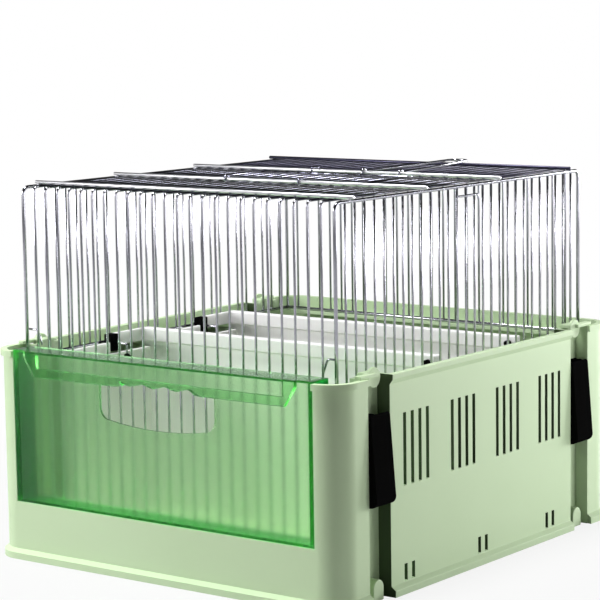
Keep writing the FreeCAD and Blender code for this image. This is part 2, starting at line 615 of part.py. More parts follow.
def divider(place):
    """Board with a thick top rail, an ear along the left wall and a panel that hangs inboard of the ear."""
    board = box(-DIVIDER_X, DIVIDER_X, place - BOARD_THICKNESS / 2, place + BOARD_THICKNESS / 2,
                FLOOR_TOP + DIVIDER_FLOOR_GAP, RAIL_TOP)
    rail = box(-DIVIDER_X, DIVIDER_X, place - RAIL_THICKNESS / 2, place + RAIL_THICKNESS / 2,
               RAIL_BOTTOM, RAIL_TOP)
    ear = box(-DIVIDER_X, -DIVIDER_X + EAR_FLANGE_THICKNESS, place - EAR_FLANGE_LENGTH, place,
              RAIL_BOTTOM, RAIL_TOP)
    panel_right = -DIVIDER_X + GUIDE_RIB_OVERLAP + EAR_PANEL_RIB_GAP + EAR_FLANGE_THICKNESS
    low = FLOOR_TOP + DIVIDER_FLOOR_GAP
    clear_y = place - EAR_FLANGE_LENGTH - CLIP_BLOCK_LENGTH - EAR_PANEL_CLIP_GAP
    clear_z = RAIL_TOP - CLIP_BLOCK_HEIGHT - EAR_PANEL_CLIP_GAP
    end_y = place - EAR_PANEL_LENGTH
    top = RAIL_TOP - EAR_PANEL_TOP_DROP
    outline = [(place, low), (place, clear_z), (clear_y, clear_z), (clear_y, top), (end_y, top), (end_y, low)]
    panel = extrude_outline(polygon([point(panel_right, y, z) for y, z in outline]),
                            point(-EAR_FLANGE_THICKNESS, 0, 0))
    return fuse([board, rail, ear, panel])


def divider_fittings(place):
    """Black clip block on the ear's end, knob under the wire hook, and peg at the rail's right end."""
    ear_end = place - EAR_FLANGE_LENGTH
    block_x = -DIVIDER_X + CLIP_BLOCK_WIDTH
    block = box(-DIVIDER_X, block_x, ear_end - CLIP_BLOCK_LENGTH, ear_end,
                RAIL_TOP - CLIP_BLOCK_HEIGHT, RAIL_TOP)
    hook_y = ear_end - CLIP_BLOCK_LENGTH / 2
    hook_z = RAIL_TOP - CLIP_BLOCK_HEIGHT / 2
    tip = point(block_x + DIVIDER_HOOK_REACH, hook_y, hook_z - DIVIDER_HOOK_DROP)
    hook = bent_rod([point(block_x, hook_y, hook_z), point(tip.x, hook_y, hook_z), tip],
                    DIVIDER_HOOK_WIRE / 2, DIVIDER_HOOK_WIRE)
    knob = Part.makeSphere(KNOB_RADIUS, tip - point(0, 0, KNOB_RADIUS))
    knob = knob.cut(box(tip.x - KNOB_RADIUS, tip.x + KNOB_RADIUS, hook_y - KNOB_RADIUS, hook_y + KNOB_RADIUS,
                        tip.z - KNOB_RADIUS / 4, tip.z + KNOB_RADIUS))
    stem = straight_rod(tip, tip - point(0, 0, KNOB_RADIUS / 4), DIVIDER_HOOK_WIRE / 2)
    hook = fuse([hook, stem])
    peg_root = point(DIVIDER_X - PEG_END_INSET, place - RAIL_THICKNESS / 2, (RAIL_BOTTOM + RAIL_TOP) / 2)
    peg = Part.makeCylinder(PEG_RADIUS, PEG_LENGTH, peg_root, point(0, -1, 0))
    return Part.makeCompound([block, knob, peg]), hook


def right_grille():
    """Side grille: a round-cornered frame, a foot bar and upright wires."""
    leg_end = CAGE_FOOT_Z - FRAME_RADIUS - WELD_TAIL
    frame = bent_rod([point(CAGE_X, -CAGE_Y, leg_end), point(CAGE_X, -CAGE_Y, FRAME_TOP_Z),
                      point(CAGE_X, CAGE_Y, FRAME_TOP_Z), point(CAGE_X, CAGE_Y, leg_end)],
                     FRAME_RADIUS, FRAME_BEND)
    foot = straight_rod(point(CAGE_X, -CAGE_Y, CAGE_FOOT_Z), point(CAGE_X, CAGE_Y, CAGE_FOOT_Z), FRAME_RADIUS)
    pieces = [frame, foot]
    for i in range(1, SIDE_SPACES):
        y = (i - SIDE_SPACES / 2) * SIDE_STEP
        pieces.append(straight_rod(point(CAGE_X, y, CAGE_FOOT_Z), point(CAGE_X, y, FRAME_TOP_Z), WIRE_RADIUS))
    return fuse(pieces)


def side_clip():
    """Short wire clip across the right grille's middle wires, under the roof."""
    clip_x = CAGE_X + WIRE + TOUCH_GAP
    clip_z = FRAME_TOP_Z - SIDE_CLIP_DROP
    half = SIDE_CLIP_LENGTH / 2
    tail_z = clip_z - SIDE_CLIP_TAIL
    return bent_rod([point(clip_x, -half, tail_z), point(clip_x, -half, clip_z), point(clip_x, half, clip_z),
                     point(clip_x, half, tail_z)], WIRE_RADIUS, WIRE)


def end_grille(foot_z):
    """Front form of an end grille: wires that bend over into the roof, on a foot bar."""
    reach = CAGE_X - FRAME_RADIUS - TOUCH_GAP
    pieces = [straight_rod(point(-reach, -CAGE_Y, foot_z), point(reach, -CAGE_Y, foot_z), FRAME_RADIUS)]
    for x in CROSS_PLACES[1:-1]:
        pieces.append(bent_rod([point(x, -CAGE_Y, foot_z), point(x, -CAGE_Y, CAGE_HEIGHT),
                                point(x, -ROOF_END_Y, CAGE_HEIGHT)], WIRE_RADIUS, END_BEND))
    return fuse(pieces)


def roof_strip(end, bar_y, strip_y):
    """Roof strip at the front or rear of the hatch: wires welded under an edge bar and a middle bar."""
    reach = CAGE_X + BAR_OVERHANG
    pieces = [straight_rod(point(-reach, y, BAR_Z), point(reach, y, BAR_Z), FRAME_RADIUS)
              for y in (end * EDGE_BAR_Y, bar_y)]
    for x in CROSS_PLACES[1:-1]:
        pieces.append(straight_rod(point(x, end * ROOF_END_Y, CAGE_HEIGHT), point(x, strip_y, CAGE_HEIGHT),
                                   WIRE_RADIUS))
    return fuse(pieces)


def roof_side_wires():
    """Roof wires that run beside the hatch, from strip to strip."""
    beside = [x for x in CROSS_PLACES[1:-1] if x <= HATCH_LEFT or x >= HATCH_RIGHT]
    wires = [straight_rod(point(x, FRONT_STRIP_Y, CAGE_HEIGHT), point(x, REAR_STRIP_Y, CAGE_HEIGHT),
                          WIRE_RADIUS) for x in beside]
    return Part.makeCompound(wires)


def ring(x, y, inner_radius, wire):
    return Part.makeTorus(inner_radius + wire / 2, wire / 2, point(x, y, BAR_Z), point(1, 0, 0))


def roof_hatch():
    """Framed wire hatch with two hinge rings and a catch that hooks over the rear middle bar."""
    left = HATCH_LEFT + HATCH_SIDE_GAP
    right = HATCH_RIGHT - HATCH_SIDE_GAP
    front_y = FRONT_BAR_Y + HATCH_RING_INSET
    rear_y = REAR_BAR_Y - HATCH_CATCH_INSET
    pieces = []
    tail = FRAME_RADIUS + WELD_TAIL
    for y in (front_y, rear_y):
        pieces.append(straight_rod(point(left - tail, y, CAGE_HEIGHT), point(right + tail, y, CAGE_HEIGHT),
                                   FRAME_RADIUS))
    for x in (left, right):
        pieces.append(straight_rod(point(x, front_y, CAGE_HEIGHT), point(x, rear_y, CAGE_HEIGHT),
                                   FRAME_RADIUS))
    for i in range(1, HATCH_SPACES - 1):
        x = left + (right - left) * i / (HATCH_SPACES - 1)
        pieces.append(straight_rod(point(x, front_y, CAGE_HEIGHT), point(x, rear_y, CAGE_HEIGHT),
                                   WIRE_RADIUS))
    ring_in = RING_HALF_SPACES_IN * CROSS_STEP / 2
    for x in (HATCH_LEFT + ring_in, HATCH_RIGHT - ring_in):
        pieces.append(ring(x, FRONT_BAR_Y, FRAME_RADIUS + RING_CLEARANCE, RING_WIRE))
    catch_x = HATCH_LEFT + CATCH_HALF_SPACES_IN * CROSS_STEP / 2
    over_z = BAR_TOP + RING_CLEARANCE + RING_WIRE / 2
    tip_y = REAR_BAR_Y + CATCH_OVERSHOOT
    pieces.append(bent_rod([point(catch_x, rear_y, CAGE_HEIGHT), point(catch_x, rear_y, over_z),
                            point(catch_x, tip_y, over_z), point(catch_x, tip_y, over_z - CATCH_TIP_DROP)],
                           RING_WIRE / 2, RING_WIRE))
    return fuse(pieces)


def carry_bail():
    """Tapered wire loop lying to the rear over the edge bar, with an eye round the middle bar at each leg."""
    half = BAIL_SPACES_WIDE * CROSS_STEP / 2
    left_eye = CROSS_PLACES[CROSS_SPACES // 2 + BAIL_OFF_SPACES] + CROSS_STEP / 2
    middle = left_eye + half
    inner = FRAME_RADIUS + BAIL_RING_CLEARANCE
    start_y = REAR_BAR_Y + inner + BAIL_WIRE / 4
    start_z = BAR_Z + BAIL_LEG_LIFT
    rest_z = BAR_TOP + BAIL_REST_GAP + BAIL_WIRE / 2
    tip_y = REAR_BAR_Y + BAIL_LENGTH
    slope = (rest_z - start_z) / (EDGE_BAR_Y - start_y)
    tip_z = start_z + slope * (tip_y - start_y)
    tip = BAIL_TIP_WIDTH / 2
    loop = bent_rod([point(middle - half, start_y, start_z), point(middle - tip, tip_y, tip_z),
                     point(middle + tip, tip_y, tip_z), point(middle + half, start_y, start_z)],
                    BAIL_WIRE / 2, BAIL_TIP_BEND)
    eyes = [ring(middle + side * half, REAR_BAR_Y, inner, BAIL_WIRE) for side in (-1, 1)]
    return fuse([loop] + eyes)


def right_corner_hook():
    """Small wire hook beside a front corner post of the cage."""
    radius = CORNER_HOOK_WIRE / 2
    y = -CAGE_Y + WIRE_RADIUS + CORNER_HOOK_GAP + radius
    top_z = TUB_HEIGHT + CORNER_HOOK_HEIGHT
    touch = FRAME_RADIUS + radius + TOUCH_GAP
    start_x = CAGE_X - math.sqrt(touch ** 2 - (y + CAGE_Y) ** 2)
    bend_x = start_x - CORNER_HOOK_REACH
    return bent_rod([point(start_x, y, top_z), point(bend_x, y, top_z),
                     point(bend_x - CORNER_HOOK_TAIL, y, top_z - CORNER_HOOK_DROP)], radius, CORNER_HOOK_BEND)


def all_nodes():
    side = right_side_panel()
    side_grille = right_grille()
    latches = at_corners(latch_lever())
    hook = right_corner_hook()
    nodes = {
        "front_panel": front_panel(),
        "rear_panel": rear_panel(),
        "right_side_panel": side,
        "left_side_panel": mirror_x(side),
        "floor_tray": floor_tray(),
        "divider_guides": divider_guides(),
        "latch_bases": Part.makeCompound(list(at_corners(latch_base()).values())),
        "latch_pins": Part.makeCompound(list(at_corners(latch_pin()).values())),
        "top_corner_clips": Part.makeCompound(list(at_corners(top_corner_clip()).values())),
        "bottom_corner_clips": Part.makeCompound(list(at_corners(bottom_corner_clip()).values())),
        "front_cover": front_cover(),
        "right_grille": side_grille,
        "left_grille": mirror_x(side_grille),
        "side_clip": side_clip(),
        "front_grille": end_grille(FRONT_FOOT_Z),
        "rear_grille": mirror_y(end_grille(CAGE_FOOT_Z)),
        "roof_front_grille": roof_strip(-1, FRONT_BAR_Y, FRONT_STRIP_Y),
        "roof_rear_grille": roof_strip(1, REAR_BAR_Y, REAR_STRIP_Y),
        "roof_side_wires": roof_side_wires(),
        "corner_hooks": Part.makeCompound([hook, mirror_x(hook)]),
        "roof_hatch": roof_hatch(),
        "carry_bail": carry_bail(),
    }
    for corner, lever in latches.items():
        nodes[corner + "_latch"] = lever
    for name, place in DIVIDER_PLACES.items():
        nodes[name] = divider(place)
        fittings, wire_hook = divider_fittings(place)
        nodes[name + "_fittings"] = fittings
        nodes[name + "_hook"] = wire_hook
    return nodes


os.makedirs("parts", exist_ok=True)
for node, shape in all_nodes().items():
    shape.exportStep("parts/" + node + ".step")
    state = "valid" if shape.isValid() else "NOT VALID"
    print(node, len(shape.Solids), "solids", round(shape.Volume), "mm3", state)
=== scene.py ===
# %% [markdown]
# # A bird carrier with a lift-off wire cage
# The carrier is a low plastic tub made of four panels that clasp at the corners. A see-through green
# cover slides down into the front window, two white boards divide the inside, and a cage of bent wire
# stands on a ledge inside the rim. The measured solids come in first as a fixed frame, and this lesson
# dresses them: moulded edges, drawn wire, clear plastic, light and a camera.

import json
import math

import bmesh
import bpy
from mathutils import Matrix, Vector


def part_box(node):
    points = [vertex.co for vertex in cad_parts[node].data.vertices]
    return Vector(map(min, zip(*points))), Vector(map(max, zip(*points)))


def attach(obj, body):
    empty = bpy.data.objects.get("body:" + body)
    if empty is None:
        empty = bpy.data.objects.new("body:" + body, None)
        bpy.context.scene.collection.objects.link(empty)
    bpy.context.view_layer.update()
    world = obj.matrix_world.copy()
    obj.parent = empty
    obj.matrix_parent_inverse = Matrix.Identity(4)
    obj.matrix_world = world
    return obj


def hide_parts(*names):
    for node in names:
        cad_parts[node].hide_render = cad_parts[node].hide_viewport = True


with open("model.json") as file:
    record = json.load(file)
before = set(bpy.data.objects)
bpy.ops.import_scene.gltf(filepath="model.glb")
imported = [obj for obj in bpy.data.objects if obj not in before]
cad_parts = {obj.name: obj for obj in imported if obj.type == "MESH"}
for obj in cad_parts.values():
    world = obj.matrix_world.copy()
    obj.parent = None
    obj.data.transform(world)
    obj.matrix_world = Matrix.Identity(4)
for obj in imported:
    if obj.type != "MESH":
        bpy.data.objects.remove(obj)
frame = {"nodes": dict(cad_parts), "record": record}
NODES = frame["nodes"]
RECORD = frame["record"]
SCENE = bpy.context.scene
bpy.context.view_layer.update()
MM = 0.001
BODY_OF = {node: body for body, nodes in RECORD["behaviour"]["bodies"].items() for node in nodes}
SLOT_OF = {row["node"]: row["material_slot"] for row in RECORD["subparts"]}


# %% [markdown]
# ## Camera
# The photograph looks down a little from the front right through a long lens. A camera could be aimed
# with a constraint, but the picture is also tilted by a small roll. A camera looks along its own -Z axis,
# so its matrix is made here from three directions: right, up and backwards.

# %% Place the camera
CAMERA_AT = Vector((1.1829, -1.5817, 0.4673))
YAW, PITCH, ROLL = 0.646, -0.131, -0.015
LENS, SENSOR = 138.2, 36
NEAREST, FARTHEST = 0.05, 50

ahead = Vector((-math.sin(YAW) * math.cos(PITCH), math.cos(YAW) * math.cos(PITCH), math.sin(PITCH)))
level = Vector((math.cos(YAW), math.sin(YAW), 0))
upright = level.cross(ahead)
right = level * math.cos(ROLL) + upright * math.sin(ROLL)
up = upright * math.cos(ROLL) - level * math.sin(ROLL)

camera = bpy.data.objects.new("camera", bpy.data.cameras.new("camera"))
SCENE.collection.objects.link(camera)
camera.data.lens = LENS
camera.data.sensor_width = SENSOR
camera.data.clip_start, camera.data.clip_end = NEAREST, FARTHEST
turned = Matrix((right, up, -ahead)).transposed().to_4x4()
camera.matrix_world = Matrix.Translation(CAMERA_AT) @ turned
SCENE.camera = camera
print("camera distance to the middle:", round(CAMERA_AT.length, 3), "m")

# %% [markdown]
# ## Shared shader groups
# Every moulded piece of the carrier has the same two small imperfections: a fine grain from the mould,
# and a slow drift in tone where the plastic cooled. Drawn wire has faint marks of its own and a patchy
# zinc bloom. Each pair could be built again in every material. Here it is built once as a node group, so
# that each finish can place it with its own values. The noise reads Object coordinates, which need no
# unwrapping. A group only puts out numbers: the shader itself stays in each material.

# %% Helpers for node trees
def node_at(tree, kind, **inputs):
    """Add a node and set its inputs by name."""
    made = tree.nodes.new(kind)
    for name, value in inputs.items():
        made.inputs[name.replace("_", " ")].default_value = value
    return made


def new_group(name, ins, outs):
    """Start a group with float inputs, each with its usual value, and float outputs."""
    group = bpy.data.node_groups.new(name, "ShaderNodeTree")
    for label, value in ins.items():
        socket = group.interface.new_socket(label, in_out="INPUT", socket_type="NodeSocketFloat")
        socket.default_value = value
    for label in outs:
        group.interface.new_socket(label, in_out="OUTPUT", socket_type="NodeSocketFloat")
    return group, group.nodes.new("NodeGroupInput"), group.nodes.new("NodeGroupOutput")


def placed_group(tree, group, **inputs):
    """Put a group into a material and set its inputs by name."""
    made = tree.nodes.new("ShaderNodeGroup")
    made.node_tree = group
    for name, value in inputs.items():
        made.inputs[name.replace("_", " ")].default_value = value
    return made


print("node groups so far:", len(bpy.data.node_groups))

# %% Build the two groups
def moulded_grain_group():
    """Fine grain height and a slow tone drift, from the object's own coordinates."""
    usual = {"Grain Scale": 900.0, "Drift Scale": 7.0}
    group, ins, outs = new_group("moulded_grain", usual, ("Grain", "Drift"))
    place = group.nodes.new("ShaderNodeTexCoord")
    grain = node_at(group, "ShaderNodeTexNoise", Detail=3.0, Roughness=0.6)
    drift = node_at(group, "ShaderNodeTexNoise", Detail=2.0, Roughness=0.5)
    link = group.links.new
    for texture, label in ((grain, "Grain"), (drift, "Drift")):
        link(place.outputs["Object"], texture.inputs["Vector"])
        link(ins.outputs[label + " Scale"], texture.inputs["Scale"])
        link(texture.outputs["Fac"], outs.inputs[label])
    return group


def drawn_wire_group():
    """Faint marks from drawing and a patchy zinc bloom, from the object's own coordinates."""
    group, ins, outs = new_group("drawn_wire", {"Patch Scale": 60.0}, ("Lines", "Patches"))
    place = group.nodes.new("ShaderNodeTexCoord")
    lines = node_at(group, "ShaderNodeTexNoise", Scale=1400.0, Detail=2.0)
    patches = node_at(group, "ShaderNodeTexNoise", Detail=4.0, Roughness=0.65)
    link = group.links.new
    link(ins.outputs["Patch Scale"], patches.inputs["Scale"])
    for texture, label in ((lines, "Lines"), (patches, "Patches")):
        link(place.outputs["Object"], texture.inputs["Vector"])
        link(texture.outputs["Fac"], outs.inputs[label])
    return group


GRAIN = moulded_grain_group()
DRAWN = drawn_wire_group()
print("groups:", GRAIN.name, DRAWN.name)

# %% [markdown]
# ## Opaque plastics
# The tub is mint plastic, the latches and small fittings are black, and the dividing boards are white.
# One flat colour would look like paint, so each plastic mixes two close tones by the slow drift, wanders
# a little in roughness, and gets its grain from a bump. The walls in the side panels' slots and seams get a
# nearly black mint, which is painted shade.

# %% Helpers for finishes
NOISE_LOW, NOISE_HIGH = 0.3, 0.7


def new_material(name):
    """A material with its node tree and its main shader."""
    material = bpy.data.materials.new(name)
    material.use_nodes = True
    tree = material.node_tree
    return material, tree, tree.nodes["Principled BSDF"]


def ranged(tree, noise, low, high):
    """Spread a noise, most of which lies between NOISE_LOW and NOISE_HIGH, over a range."""
    spread = node_at(tree, "ShaderNodeMapRange", From_Min=NOISE_LOW, From_Max=NOISE_HIGH,
                     To_Min=low, To_Max=high)
    tree.links.new(noise, spread.inputs["Value"])
    return spread.outputs["Result"]


def two_tone(tree, mask, one, other):
    """Mix two colours by a mask."""
    mix = tree.nodes.new("ShaderNodeMix")
    mix.data_type = "RGBA"
    mix.inputs["A"].default_value = (*one, 1)
    mix.inputs["B"].default_value = (*other, 1)
    tree.links.new(mask, mix.inputs["Factor"])
    return mix.outputs["Result"]


def bump(tree, height, strength, depth):
    """A normal that is tilted by a height."""
    raised = node_at(tree, "ShaderNodeBump", Strength=strength, Distance=depth)
    tree.links.new(height, raised.inputs["Height"])
    return raised.outputs["Normal"]


print("noise is spread from", NOISE_LOW, "to", NOISE_HIGH)

# %% Mint, black and white plastic
SMOOTHER, ROUGHER = 0.04, 0.05
GRAIN_STRENGTH = 0.35


def moulded_plastic(name, tone, deep_tone, rough, gloss, grain_scale, grain_depth):
    """An opaque plastic of two close tones with a moulded grain."""
    material, tree, shader = new_material(name)
    shader.inputs["Specular IOR Level"].default_value = gloss
    grain = placed_group(tree, GRAIN, Grain_Scale=grain_scale)
    link = tree.links.new
    drift = grain.outputs["Drift"]
    link(two_tone(tree, ranged(tree, drift, 0, 1), tone, deep_tone), shader.inputs["Base Color"])
    link(ranged(tree, drift, rough - SMOOTHER, rough + ROUGHER), shader.inputs["Roughness"])
    link(bump(tree, grain.outputs["Grain"], GRAIN_STRENGTH, grain_depth), shader.inputs["Normal"])
    return material


MINT = moulded_plastic("mint_plastic", (0.530, 0.665, 0.435), (0.505, 0.640, 0.410),
                       rough=0.45, gloss=0.18, grain_scale=900.0, grain_depth=0.06 * MM)
# Painted shade: a nearly black mint for the walls in the side panels' slots and seams.
SLOT_SHADE_MINT = moulded_plastic("mint_painted_slot_shade", (0.055, 0.080, 0.040), (0.045, 0.068, 0.034),
                            rough=0.60, gloss=0.05, grain_scale=900.0, grain_depth=0.06 * MM)
BLACK = moulded_plastic("black_plastic", (0.003, 0.003, 0.003), (0.004, 0.004, 0.004),
                        rough=0.50, gloss=0.0, grain_scale=1100.0, grain_depth=0.05 * MM)
WHITE = moulded_plastic("white_plastic", (0.890, 0.875, 0.885), (0.850, 0.840, 0.850),
                        rough=0.45, gloss=0.4, grain_scale=700.0, grain_depth=0.06 * MM)
print("plastics:", MINT.name, SLOT_SHADE_MINT.name, BLACK.name, WHITE.name)

# %% [markdown]
# ## Galvanised wire
# Zinc on wire is bright when it is new and dulls to a grey bloom in patches. The cage uses several copies
# of that finish: grey uprights; roof wires, hatch wires and a rear strip painted darker, which is painted
# shade and painted reflection; and cross bars painted lighter, which is a painted highlight. Only the
# tones and the roughness differ, so one function makes them all.

# %% Wires and pins
BLOOM_ROUGHER = 0.10
DRAW_STRENGTH, DRAW_DEPTH = 0.1, 0.02 * MM


def galvanised_wire(name, bright, dull, rough):
    """A metal of two tones in patches; the dull patches are rougher."""
    material, tree, shader = new_material(name)
    shader.inputs["Metallic"].default_value = 1.0
    drawn = placed_group(tree, DRAWN)
    link = tree.links.new
    patches = drawn.outputs["Patches"]
    link(two_tone(tree, ranged(tree, patches, 0, 1), bright, dull), shader.inputs["Base Color"])
    link(ranged(tree, patches, rough, rough + BLOOM_ROUGHER), shader.inputs["Roughness"])
    link(bump(tree, drawn.outputs["Lines"], DRAW_STRENGTH, DRAW_DEPTH), shader.inputs["Normal"])
    return material


WIRE = galvanised_wire("galvanised_wire", (0.50, 0.50, 0.55), (0.38, 0.38, 0.43), 0.10)
# Painted shade and painted reflection: darker copies of the galvanised finish for the roof wires, the hatch
# and the rear strip.
ROOF_WIRE_SHADED = galvanised_wire("roof_wire_painted_dark", (0.11, 0.11, 0.135), (0.07, 0.07, 0.095), 0.08)
HATCH_WIRE_SHADED = galvanised_wire("hatch_wire", (0.31, 0.31, 0.38), (0.23, 0.23, 0.30), 0.10)
REAR_WIRE_SHADED = galvanised_wire("rear_wire_painted_shade", (0.052, 0.049, 0.080), (0.034, 0.032, 0.056), 0.30)
# Painted highlight: a lighter copy of the galvanised finish for the bright cross bars.
BAR_WIRE_LIT = galvanised_wire("bar_wire_painted_highlight", (0.80, 0.80, 0.82), (0.70, 0.70, 0.73), 0.30)
PIN = galvanised_wire("pin_steel", (0.60, 0.60, 0.60), (0.50, 0.50, 0.51), 0.25)
print("metals:", [m.name for m in (WIRE, ROOF_WIRE_SHADED, HATCH_WIRE_SHADED, REAR_WIRE_SHADED, BAR_WIRE_LIT, PIN)])

# %% [markdown]
# ## Clear green plastic
# The front cover is see-through and slightly frosted. A tint on its surface alone would colour every wall
# alike, but the real one holds its colour in its depth: a thin wall looks pale, and a wall seen on edge
# looks deep green. So the plastic absorbs light inside, and a face attribute named deep adds green to the
# walls that are seen along their depth. Shadow rays pass almost freely, so that the inside stays light.

# %% Values of the front cover's finish
CLEAR_IOR = 1.46
GLINT = (0.30, 0.85, 0.42, 1)
CLEAR_TONE, CLEAR_DEEP_TONE = (0.90, 0.95, 0.82), (0.86, 0.93, 0.78)
EDGE_GREEN = (0.02, 0.42, 0.13, 1)
CLEAR_DRIFT_SCALE = 9.0
FROST_LOW, FROST_HIGH = 0.21, 0.26
DEPTH_GREEN, DEPTH_DENSITY = (0.08, 0.75, 0.10, 1), 160.0
LET_THROUGH = (0.97, 0.98, 0.97, 1)
print("absorption density:", DEPTH_DENSITY)

# %% The front cover's finish
def choose_shader(tree, mask, one, other):
    """Show one shader where the mask is 0 and the other where it is 1."""
    choice = tree.nodes.new("ShaderNodeMixShader")
    tree.links.new(mask, choice.inputs["Fac"])
    tree.links.new(one.outputs[0], choice.inputs[1])
    tree.links.new(other.outputs[0], choice.inputs[2])
    return choice.outputs[0]


def clear_green(name):
    """A frosted clear plastic that is deeper green where the deep attribute says so."""
    material, tree, shader = new_material(name)
    shader.inputs["Transmission Weight"].default_value = 1.0
    shader.inputs["IOR"].default_value = CLEAR_IOR
    shader.inputs["Specular Tint"].default_value = GLINT
    link = tree.links.new
    drift = placed_group(tree, GRAIN, Drift_Scale=CLEAR_DRIFT_SCALE).outputs["Drift"]
    walls = two_tone(tree, ranged(tree, drift, 0, 1), CLEAR_TONE, CLEAR_DEEP_TONE)
    edges = tree.nodes.new("ShaderNodeAttribute")
    edges.attribute_name = "deep"
    tint = tree.nodes.new("ShaderNodeMix")
    tint.data_type = "RGBA"
    tint.inputs["B"].default_value = EDGE_GREEN
    link(edges.outputs["Fac"], tint.inputs["Factor"])
    link(walls, tint.inputs["A"])
    link(tint.outputs["Result"], shader.inputs["Base Color"])
    link(ranged(tree, drift, FROST_LOW, FROST_HIGH), shader.inputs["Roughness"])
    depth = node_at(tree, "ShaderNodeVolumeAbsorption", Color=DEPTH_GREEN, Density=DEPTH_DENSITY)
    through = node_at(tree, "ShaderNodeBsdfTransparent", Color=LET_THROUGH)
    rays = tree.nodes.new("ShaderNodeLightPath")
    out = tree.nodes["Material Output"]
    link(depth.outputs["Volume"], out.inputs["Volume"])
    link(choose_shader(tree, rays.outputs["Is Shadow Ray"], shader, through), out.inputs["Surface"])
    return material


COVER = clear_green("clear_green_plastic")
FINISH = {"tub": MINT, "latch": BLACK, "fitting": BLACK, "board": WHITE,
          "wire": WIRE, "pin": PIN, "cover": COVER}
print("finishes:", sorted(FINISH))

# %% [markdown]
# ## Moulded edges
# A moulded panel has no knife edges: the mould leaves a small round on every corner, and that round
# catches the light. Rounds in the solids would make them heavy, and the solids have the right planes
# already. So each plastic piece is a copy of its solid, merged and cleaned into whole faces, with a bevel
# along the edges that are sharp. The bevel weight of an edge says how large its round is, so one piece
# can have two sizes.

# %% Hand a mesh over as a piece
def add_piece(name, bm, node):
    """Turn a bmesh into a piece that stands for a solid and rides with its body."""
    mesh = bpy.data.meshes.new(name)
    bm.to_mesh(mesh)
    bm.free()
    piece = bpy.data.objects.new(name, mesh)
    SCENE.collection.objects.link(piece)
    mesh.materials.append(FINISH[SLOT_OF[node]])
    mesh.shade_smooth()
    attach(piece, BODY_OF[node])
    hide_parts(node)
    return piece


print("bodies that pieces ride with:", sorted(set(BODY_OF.values())))

# %% Copy a solid and round its edges
SAME_VERTEX = 1e-6
FLAT_ANGLE, SHARP_ANGLE = math.radians(1.5), math.radians(28)
ROUND_STEPS = 3


def moulded(node, radius, large=None, where=None, mark=None):
    """Copy a solid and round its sharp edges; edges that pass the where test get the large radius."""
    bm = bmesh.new()
    bm.from_mesh(NODES[node].data)
    bmesh.ops.remove_doubles(bm, verts=bm.verts, dist=SAME_VERTEX)
    bmesh.ops.dissolve_limit(bm, angle_limit=FLAT_ANGLE, verts=bm.verts, edges=bm.edges)
    if mark:
        mark(bm)
    widest = large or radius
    weights = bm.edges.layers.float.new("bevel_weight_edge")
    sharp = [e for e in bm.edges if len(e.link_faces) == 2 and e.calc_face_angle() > SHARP_ANGLE]
    for edge in sharp:
        middle = (edge.verts[0].co + edge.verts[1].co) / 2
        edge[weights] = (large if where and where(middle) else radius) / widest
    count = len(sharp)
    piece = add_piece(node + "_moulded", bm, node)
    bevel = piece.modifiers.new("rounded_edges", "BEVEL")
    bevel.limit_method = "WEIGHT"
    bevel.width = widest
    bevel.segments = ROUND_STEPS
    bevel.profile = 0.5
    bevel.use_clamp_overlap = True
    even = piece.modifiers.new("flat_faces_stay_flat", "WEIGHTED_NORMAL")
    even.mode = "FACE_AREA"
    even.weight = 100
    print(piece.name, "rounded edges:", count)
    return piece


print("edges count as sharp from", round(math.degrees(SHARP_ANGLE)), "degrees")

# %% Large rounds and marked faces
FOOT_FLARE = 4 * MM
OUTER_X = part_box("right_side_panel")[1].x - FOOT_FLARE
OUTER_Y = -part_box("front_panel")[0].y - FOOT_FLARE
CORNER_R = 23 * MM
CORNER_SKIN = 0.5 * MM
SLOT_INSET = 0.3 * MM
# How far a face's normal points along an axis: 1 is square on.
FACING, LEANING = 0.9, 0.6
SIDE_WALL_AREA = 500 * MM * MM
TOP_EDGE, FLOOR_EDGE = 5 * MM, 3 * MM
FLOOR_DEEP = 0.35


def off_the_corner(point):
    """True outside the circle of a corner return: on a flat wall, a foot or a lip."""
    from_middle = math.hypot(abs(point.x) - OUTER_X + CORNER_R, abs(point.y) - OUTER_Y + CORNER_R)
    return from_middle > CORNER_R + CORNER_SKIN


def mark_slot_shade(bm):
    """Walls across the thickness of a side panel, in its slots and at its seams, get the second finish,
    which is painted shade.
    """
    for face in bm.faces:
        if abs(face.normal.y) > FACING and abs(face.calc_center_median().x) < OUTER_X - SLOT_INSET:
            face.material_index = 1


def mark_deep_walls(bm):
    """The cover's side walls, its floor and the underside of its grip are seen along their depth."""
    deep = bm.faces.layers.float.new("deep")
    low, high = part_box("front_cover")
    for face in bm.faces:
        z = face.calc_center_median().z
        side = abs(face.normal.x) > FACING and face.calc_area() > SIDE_WALL_AREA
        under = face.normal.z < -LEANING and z < high.z - TOP_EDGE
        floor_top = face.normal.z > FACING and z < low.z + FLOOR_EDGE
        face[deep] = 1.0 if side or under else FLOOR_DEEP if floor_top else 0.0


print("tub wall at", round(OUTER_X / MM, 1), "and", round(OUTER_Y / MM, 1), "mm from the middle")

# %% Mould the plastic pieces
FINE_ROUND, WALL_ROUND, BOARD_ROUND = 0.5 * MM, 1.0 * MM, 1.0 * MM
CLIP_ROUND, LATCH_ROUND, FITTING_ROUND = 0.9 * MM, 0.7 * MM, 0.6 * MM

